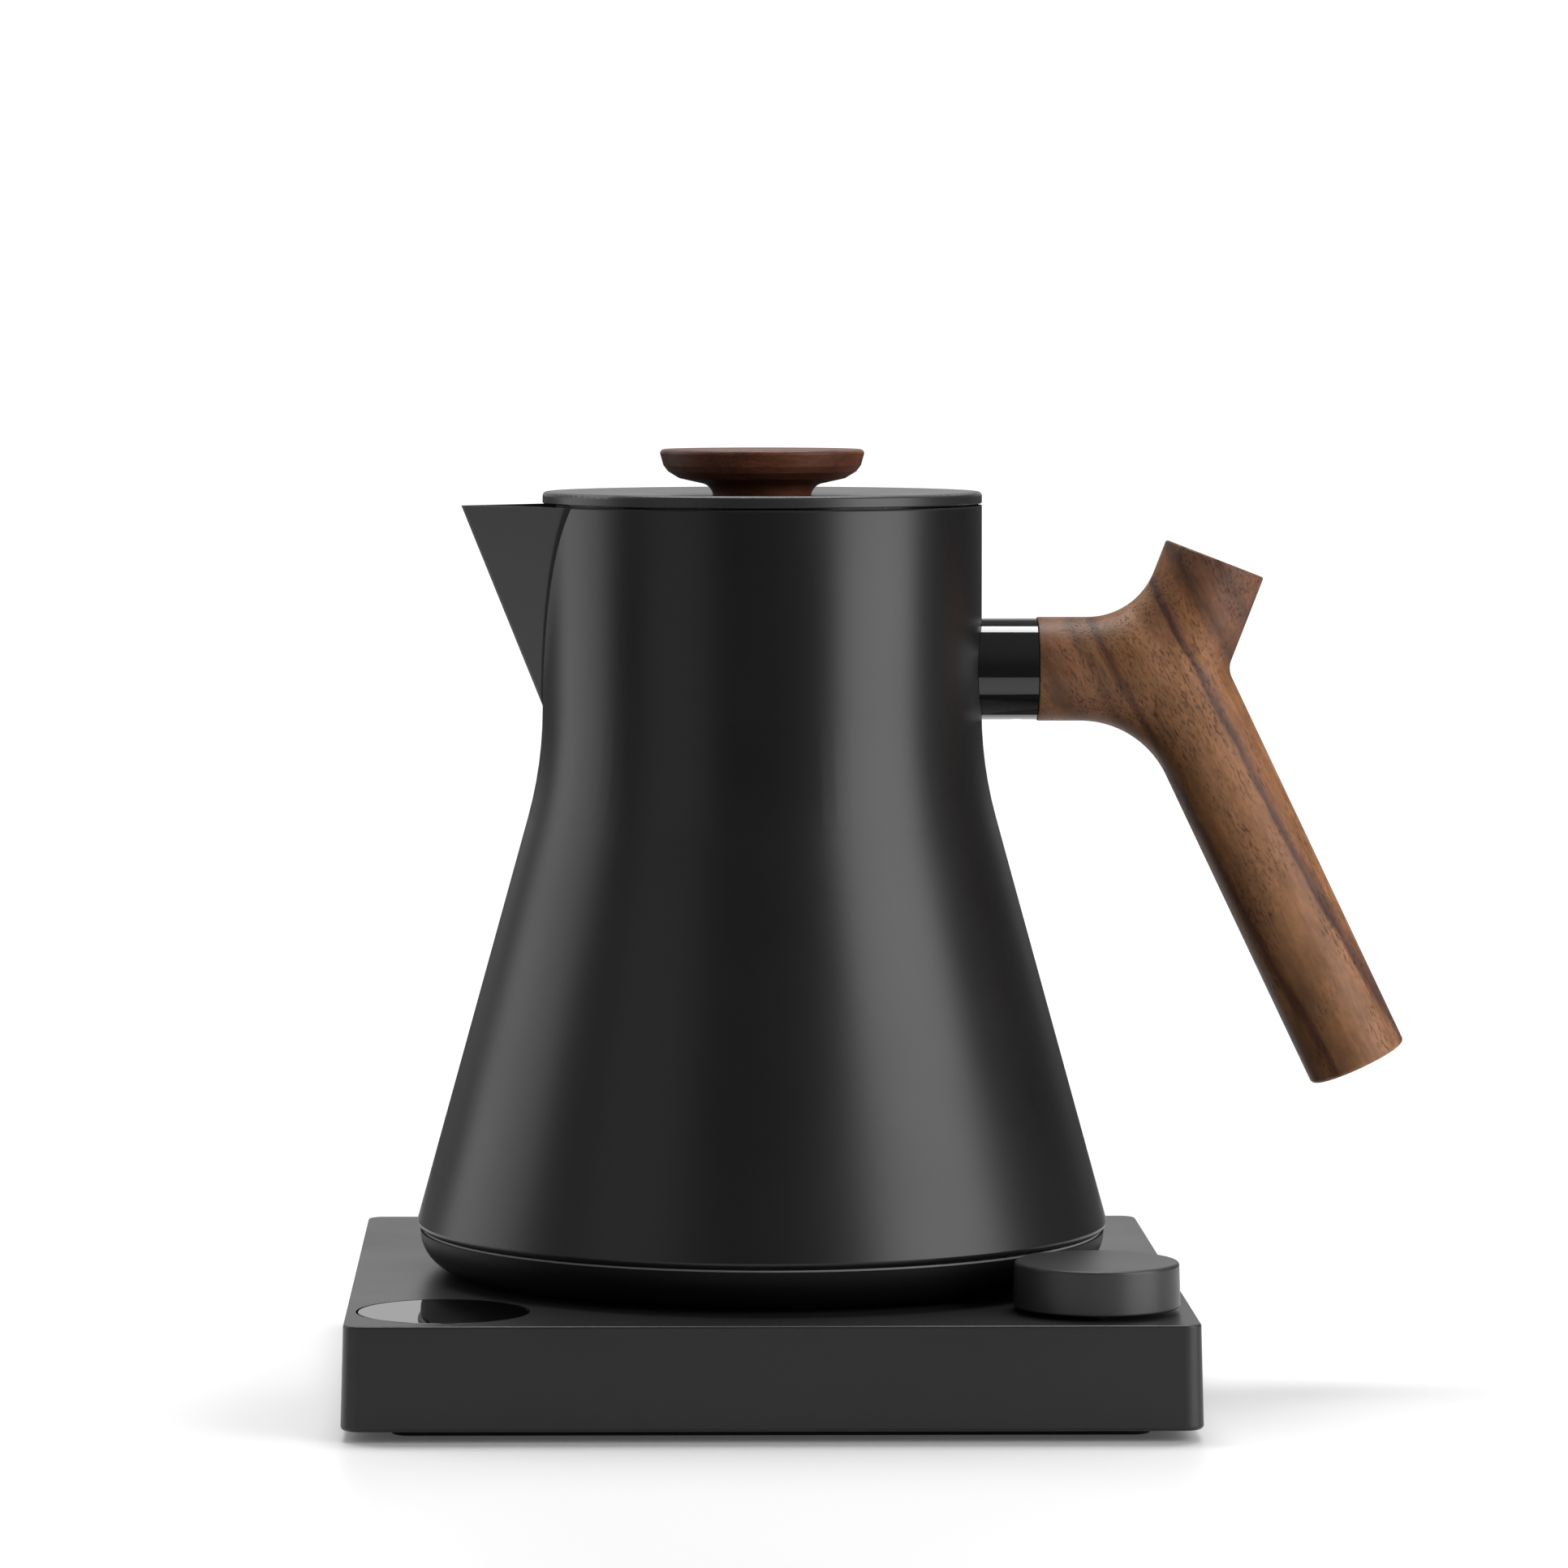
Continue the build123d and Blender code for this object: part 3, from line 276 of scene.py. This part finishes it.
# ---- Base: underside, foot and fasteners -----------------------------------------------------
# A flat moulded cover closes the tray from below.  A square ring of black silicone lies in a
# groove of the cover and carries the weight; four countersunk screws hold the cover.
base_under = coated("base_under", srgb(30, 30, 31), 0.55, 0.0008, 0.00003)
wear(base_under, "base_cover", "connector_post", "kettle_connector", "encoder_body")
wear(base_under, "switch_bodies", "cord_clamp")
foot_rubber = coated("foot_rubber", srgb(20, 20, 20), 0.75, 0.0006, 0.00002, specular=0.3)
wear(foot_rubber, "foot_ring", "cord_gland")


def metal(name, tint, roughness, grain_and_painted_shade=None):
    """Bare or plated metal with fine marks; the optional mask function gives a signal, 1 where shade is
    painted by darkening the metal.
    """
    finish = Finish(name, Metallic=1.0)
    marks = finish.noise(900.0, 3.0, 0.6)
    bright = finish.mix(marks, [c * 0.86 for c in tint], tint)
    # Where the mask is 1, shade is painted by darkening the metal's colour.
    finish.set("Base Color", finish.shade(bright, 1.0 - grain_and_painted_shade(finish) * 0.94) if grain_and_painted_shade else bright)
    finish.set("Roughness", marks * 0.18 + (roughness - 0.09))
    finish.set("Normal", finish.bump(marks, 0.000006))
    return finish.material


screw_steel = metal("screw_steel", (0.46, 0.46, 0.47), 0.34)
wear(screw_steel, "cover_screws", "post_screws", "board_screws", "clamp_screws", "pan_screws")
wear(screw_steel, "collar_screw", "knob_screw", "knob_washer")

# ---- Base: switches at the back --------------------------------------------------------------
# Two small sliding nubs of black plastic in slots of the rear wall.
switch_black = coated("switch_black", srgb(34, 34, 35), 0.5, 0.0006, 0.00001)
wear(switch_black, "hold_switch", "unit_switch")

# ---- Base: electronics -----------------------------------------------------------------------
# Three green boards under the top plate carry black moulded parts; the contacts are brass.
contact_brass = metal("contact_brass", (0.72, 0.52, 0.24), 0.30)
wear(contact_brass, "post_contacts", "connector_pin", "connector_rings", "element_terminals")
wear(contact_brass, "handle_insert", "knob_insert")
board_green = coated("board_green", (0.012, 0.090, 0.040), 0.35, 0.0015, 0.00002)
wear(board_green, "control_board", "display_board", "encoder_board")
component_black = coated("component_black", srgb(38, 38, 39), 0.5, 0.0004, 0.00001)
wear(component_black, "power_relay", "supply_transformer", "processor", "capacitors", "buzzer")
wear(component_black, "display_module", "thermal_cutouts", "encoder_plunger")

# ---- Base: display lens ----------------------------------------------------------------------
# A round window of black acrylic, flush with the top and polished, with a hairline gap around it.
lens_gloss = Finish("lens_gloss", Specular_IOR_Level=0.55)
lens_gloss.set("Base Color", (0.0025, 0.0025, 0.003))
smears = lens_gloss.noise(160.0, 4.0, 0.7)
lens_gloss.set("Roughness", lens_gloss.fit(smears, 0.45, 0.75, 0.02, 0.06))
wear(lens_gloss.material, "display_lens")

# ---- Base: dial ------------------------------------------------------------------------------
# A turned, satin black cap, smooth all round, pressed on the shaft of a push-and-turn encoder.
# The shaft is stainless steel, as are the heater's plate, the probe and the handle's stud.
dial_satin = coated("dial_satin", srgb(46, 46, 46), 0.36, 0.0004, 0.000008, specular=0.4)
wear(dial_satin, "dial")
steel_tint = (0.60, 0.60, 0.61)
stainless = metal("stainless", steel_tint, 0.28)
wear(stainless, "encoder_shaft", "heater_plate", "temperature_probe", "handle_stud")

# ---- Kettle: body and spout ------------------------------------------------------------------
# Spun steel under a matte black powder coat.  The V of the spout is folded from one plate and
# brazed inside the neck, so it shares the coat.
neck_top = 183.6 * mm
neck_radius = 46.0 * mm


def shade_at_rim(finish):
    """Painted shade on the sheet's cut edge under the lid, in the gap below the lid's rim."""
    return finish.fit(finish.height(), neck_top - 0.4 * mm, neck_top - 0.2 * mm)


def shade_in_seam(finish):
    """Painted shade on the spout's root and flange, seen through the narrow gap in the neck's cut-out."""
    inputs = {0: finish.place(), 1: (1.0, 1.0, 0.0)}
    level = finish.node("ShaderNodeVectorMath", {"operation": "MULTIPLY"}, inputs)
    radius = finish.node("ShaderNodeVectorMath", {"operation": "LENGTH"}, {0: level}, "Value")
    return finish.fit(radius, neck_radius + 0.5 * mm, neck_radius + 0.2 * mm)


body_coat = {"colour": srgb(19, 19, 19.5), "roughness": 0.33, "specular": 0.4}
body_coat.update({"grain": 0.3 * mm, "depth": 0.006 * mm})
# Painted shade: the neck's rim edge under the lid is darkened, as the shadow in the gap below the lid.
powder_black = coated("powder_black", painted_shade=shade_at_rim, **body_coat)
wear(powder_black, "body_shell")
# Painted shade: the spout's faces just inside the neck's cut-out are darkened, as the shadow in the seam.
spout_black = coated("spout_black", painted_shade=shade_in_seam, **body_coat)
wear(spout_black, "spout")

# ---- Kettle: bottom pan and heater -----------------------------------------------------------
# A black moulded pan closes the underside behind a thin silicone seal; above it lie the heater
# and its cut-outs.
pan_black = coated("pan_black", srgb(11, 11, 11.5), 0.5, 0.0006, 0.00001, specular=0.12)
wear(pan_black, "bottom_pan")
seal_silicone = coated("seal_silicone", srgb(120, 120, 118), 0.5, 0.0008, 0.00001)
wear(seal_silicone, "pan_seal", "probe_seal", "lid_gasket")
aluminium = metal("cast_aluminium", (0.70, 0.70, 0.71), 0.42)
wear(aluminium, "heat_spreader", "heating_element")

# ---- Kettle: collar --------------------------------------------------------------------------
# A turned metal tube, lacquered gloss black, clamped between the neck and the wood.
collar_gloss = Finish("collar_gloss", Specular_IOR_Level=0.6)
collar_gloss.set("Base Color", (0.006, 0.006, 0.0065))
flow = collar_gloss.noise(220.0, 2.0)
collar_gloss.set("Roughness", collar_gloss.fit(flow, 0.3, 0.7, 0.03, 0.06))
wear(collar_gloss.material, "handle_collar")


# ---- Kettle: walnut handle -------------------------------------------------------------------
# One piece of walnut, three round limbs that grow together, sanded round and oiled.  It is
# screwed on over the stud, and its grain runs down the grip.
def walnut(name, grain, across, bands, tint, sheen=0.46, pore_share=0.7):
    """Oiled walnut.  grain is the direction of the fibres, across a direction square to them, and
    bands are places in metres with the colours met there on a walk across."""
    finish = Finish(name, Specular_IOR_Level=0.2)
    fibre = Vector(grain).normalized()
    deep = fibre.cross(Vector(across))
    here = finish.place()

    def along(direction):
        settings = {"operation": "DOT_PRODUCT"}
        return finish.node("ShaderNodeVectorMath", settings, {0: here, 1: tuple(direction)}, "Value")

    walk = along(across)
    depth = along(deep)
    down = along(fibre)

    def drawn(scale, length, detail=3.0, roughness=0.55):
        """Noise drawn out along the fibres, so many times longer than it is wide."""
        inputs = {0: walk, 1: depth, 2: down * (1.0 / length)}
        return finish.noise(scale, detail, roughness, finish.node("ShaderNodeCombineXYZ", {}, inputs))

    wander = (drawn(42.0, 4.0, 2.0) - 0.5) * 0.0050 + (drawn(190.0, 3.0, 3.0, 0.6) - 0.5) * 0.0022
    ring = walk + wander + depth * 0.12
    low, high = bands[0][0], bands[-1][0]
    stops = [((place - low) / (high - low), srgb(*colour)) for place, colour in bands]
    tone = finish.node("ShaderNodeValToRGB", {"stops": stops}, {0: finish.fit(ring, low, high)})
    figure = finish.fit(drawn(150.0, 1.9, 4.0, 0.7), 0.30, 0.70, 0.74, 1.24)
    fibres = drawn(900.0, 7.0, 3.0, 0.65)
    threads = finish.fit(fibres, 0.30, 0.70, 0.80, 1.18)
    grain_and_painted_shade = finish.shade(finish.shade(tone, figure), threads)
    dashes = finish.fit(drawn(2200.0, 3.2, 1.0, 0.4), 0.53, 0.64)
    long_pores = finish.fit(drawn(1700.0, 8.0, 1.0, 0.4), 0.62, 0.72)
    patches = finish.fit(drawn(150.0, 2.5, 2.0), 0.38, 0.58, 0.12, 1.0)
    pores = (dashes * 0.7 + long_pores * 0.6) * patches * pore_share
    finish.set("Base Color", finish.mix(pores, finish.tinted(grain_and_painted_shade, tint), srgb(40, 23, 16)))
    finish.set("Roughness", finish.fit(fibres, 0.3, 0.7, sheen - 0.04, sheen + 0.08) + pores * 0.2)
    finish.set("Normal", finish.bump(fibres * 0.4 - pores, 0.00005))
    return finish.material


# Walnut ring colours across the grain. Besides the grain they hold painted shade in a darker band on the
# arm's underside, and a painted highlight in lighter bands along the grip's right edge.
handle_grain_and_light_bands = [
    (-0.0300, (122, 88, 64)),
    (-0.0250, (134, 97, 70)),
    (-0.0225, (104, 74, 55)),
    (-0.0205, (100, 70, 50)),
    (-0.0180, (124, 86, 64)),
    (-0.0155, (132, 94, 70)),
    (-0.0138, (104, 74, 54)),
    (-0.0112, (124, 88, 62)),
    (-0.0102, (92, 60, 44)),
    (-0.0095, (88, 56, 42)),
    (-0.0088, (122, 85, 56)),
    (-0.0050, (138, 98, 66)),
    (-0.0020, (156, 114, 84)),
    (0.0015, (160, 117, 88)),
    (0.0040, (152, 110, 83)),
    (0.0046, (92, 64, 57)),
    (0.0053, (104, 76, 66)),
    (0.0064, (146, 103, 74)),
    (0.0084, (158, 112, 80)),
    (0.0102, (150, 105, 74)),
    (0.0116, (118, 82, 62)),
    (0.0128, (92, 64, 50)),
    (0.0142, (112, 79, 61)),
    (0.0158, (122, 86, 68)),
    (0.0185, (112, 80, 66)),
    (0.0200, (100, 72, 62)),
    (0.0215, (124, 88, 70)),
    (0.0280, (116, 82, 66)),
]
joint = Vector((85.95, 0.0, 149.2)) * mm  # where the middles of the three limbs meet
grain_lean = radians(28.6)
across_grain = Vector((cos(grain_lean), 0.0, sin(grain_lean)))
oiled_walnut = walnut(
    "oiled_walnut",
    (sin(grain_lean), 0.0, -cos(grain_lean)),
    across_grain,
    [(place + joint.dot(across_grain), colour) for place, colour in handle_grain_and_light_bands],
    tint=(0.70, 0.66, 0.60),
)

half_depth = 10.65 * mm  # front to back, the same for all three limbs
grip_lean = radians(25.4)
horn_lean = radians(21.3)
Limb = namedtuple("Limb", "way half_width length rounding")
arm = Limb(Vector((-1.0, 0.0, 0.0)), 10.9 * mm, 28.35 * mm, 0.3 * mm)
horn = Limb(Vector((sin(horn_lean), 0.0, cos(horn_lean))), 10.95 * mm, 24.8 * mm, 0.5 * mm)
grip = Limb(Vector((sin(grip_lean), 0.0, -cos(grip_lean))), 10.65 * mm, 91.7 * mm, 1.0 * mm)
Fork = namedtuple("Fork", "first second radius")
forks = (Fork(arm, horn, 15.0 * mm), Fork(horn, grip, 4.5 * mm), Fork(grip, arm, 20.0 * mm))


def side_towards(limb, other):
    """The side of a limb that faces the other one."""
    side = limb.way.cross(Vector((0.0, 1.0, 0.0)))
    return side if side.dot(other.way) > 0 else -side


def fork_centre(fork):
    """The centre of the round between two limbs, and how far along the first and second it lies."""
    first, second, radius = fork
    side_a = side_towards(first, second)
    side_b = side_towards(second, first)
    gap = side_b * (second.half_width + radius) - side_a * (first.half_width + radius)
    turn = first.way.x * second.way.z - first.way.z * second.way.x
    reach_a = (gap.x * second.way.z - gap.z * second.way.x) / turn
    reach_b = (gap.x * first.way.z - gap.z * first.way.x) / turn
    centre = joint + first.way * reach_a + side_a * (first.half_width + radius)
    return centre, (reach_a, reach_b)


def reach_along(limb, fork):
    """How far out along a limb the round of one of its forks goes."""
    return fork_centre(fork)[1][fork.index(limb)]


def limb_stations(limb, reach):
    """Distances from the joint and shares of the width there, out to the middle of the end face."""
    start_rows = 14
    end_rows = 6
    row_step = 2.4 * mm
    stations = [(reach * i / start_rows, 1.0) for i in range(start_rows)]
    straight = limb.length - limb.rounding - reach
    count = max(2, round(straight / row_step))
    stations += [(reach + straight * i / count, 1.0) for i in range(count)]
    for i in range(end_rows + 1):
        turn = pi / 2 * i / end_rows
        share = 1.0 - (1.0 - cos(turn)) * limb.rounding / limb.half_width
        stations.append((limb.length - limb.rounding * (1.0 - sin(turn)), share))
    return stations + [(limb.length, share * inner) for inner in (0.93, 0.6, 0.3, 0.0)]


def outline_rows(limb, other, fork, start):
    """Points down a limb's middle, the way from each to the outline beside the fork, and the depth."""
    centre = fork_centre(fork)[0]
    reach = reach_along(limb, fork)
    side = side_towards(limb, other)
    other_side = side_towards(other, limb)
    opening = acos(max(-1.0, min(1.0, side.dot(other_side))))
    rows = []
    for distance, share in limb_stations(limb, start):
        middle = joint + limb.way * distance
        edge = middle + side * limb.half_width
        if distance < reach:
            lag = opening / 2 * (1.0 - distance / reach)
            inward = (side * sin(opening - lag) + other_side * sin(lag)) / sin(opening)
            edge = centre - inward * fork.radius
        rows.append((middle, (edge - middle) * share, half_depth * share))
    return rows


def skin_quarter(wood, rows, face_way, columns=12):
    """Skin from the outline round to the middle of the front (-1) or the back (1)."""
    grid = []
    for middle, offset, depth in rows:
        line = []
        for i in range(columns + 1):
            turn = pi / 2 * i / columns
            bulge = Vector((0.0, face_way * depth * sin(turn), 0.0))
            line.append(wood.verts.new(middle + offset * cos(turn) + bulge))
        grid.append(line)
    for line, next_line in zip(grid, grid[1:]):
        for i in range(columns):
            wood.faces.new((line[i], line[i + 1], next_line[i + 1], next_line[i]))


wood = bmesh.new()
for fork in forks:
    for limb, other in ((fork.first, fork.second), (fork.second, fork.first)):
        start = max(reach_along(limb, each) for each in forks if limb in each)
        rows = outline_rows(limb, other, fork, start)
        for face_way in (-1, 1):
            skin_quarter(wood, rows, face_way)
bmesh.ops.remove_doubles(wood, verts=wood.verts, dist=0.02 * mm)
bmesh.ops.dissolve_degenerate(wood, dist=0.005 * mm, edges=wood.edges)
bmesh.ops.recalc_face_normals(wood, faces=wood.faces)


def finished(name, mesh_data, material, body, slot, *stands_for):
    """Turn a bmesh into a smooth piece that rides on a body and stands for CAD nodes."""
    mesh = bpy.data.meshes.new(name)
    mesh_data.to_mesh(mesh)
    mesh_data.free()
    mesh.materials.append(material)
    mesh.shade_smooth()
    piece = bpy.data.objects.new(name, mesh)
    bpy.context.collection.objects.link(piece)
    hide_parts(*stands_for)
    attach(piece, body)
    return piece


handle = finished("walnut_handle", wood, oiled_walnut, "kettle", "walnut", "handle")

# ---- Lid -------------------------------------------------------------------------------------
# A coated steel disc, very slightly dished, with a rounded edge that rests on the neck.
lid_black = coated("lid_black", srgb(34, 34, 34.5), 0.36, 0.0004, 0.000006, specular=0.45)
wear(lid_black, "lid_top")


def shade_under_lid(finish):
    """Painted shade on the plug's top edge, in the gap between the lid and the neck."""
    return finish.fit(finish.height(), neck_top - 1.4 * mm, neck_top - 0.8 * mm)


# Painted shade: the plug's top edge is darkened, as the shadow in the gap between the lid and the neck.
plug_steel = metal("plug_steel", steel_tint, 0.28, grain_and_painted_shade=shade_under_lid)
wear(plug_steel, "lid_plug")

# ---- Lid: knob -------------------------------------------------------------------------------
# Turned from dark walnut with the grain across it, and screwed on from below.
dark_bands = [
    (-0.022, (96, 52, 36)),
    (-0.018, (122, 64, 38)),
    (-0.013, (104, 54, 36)),
    (-0.008, (128, 66, 40)),
    (-0.004, (98, 50, 34)),
    (0.0, (122, 66, 42)),
    (0.005, (100, 54, 38)),
    (0.011, (116, 64, 44)),
    (0.022, (88, 52, 40)),
]
dark_walnut = walnut(
    "dark_walnut",
    (0.97, 0.24, 0.0),
    (-0.24, 0.97, 0.0),
    dark_bands,
    tint=(0.76, 0.90, 0.98),
    sheen=0.40,
    pore_share=0.5,
)
wear(dark_walnut, "lid_knob")
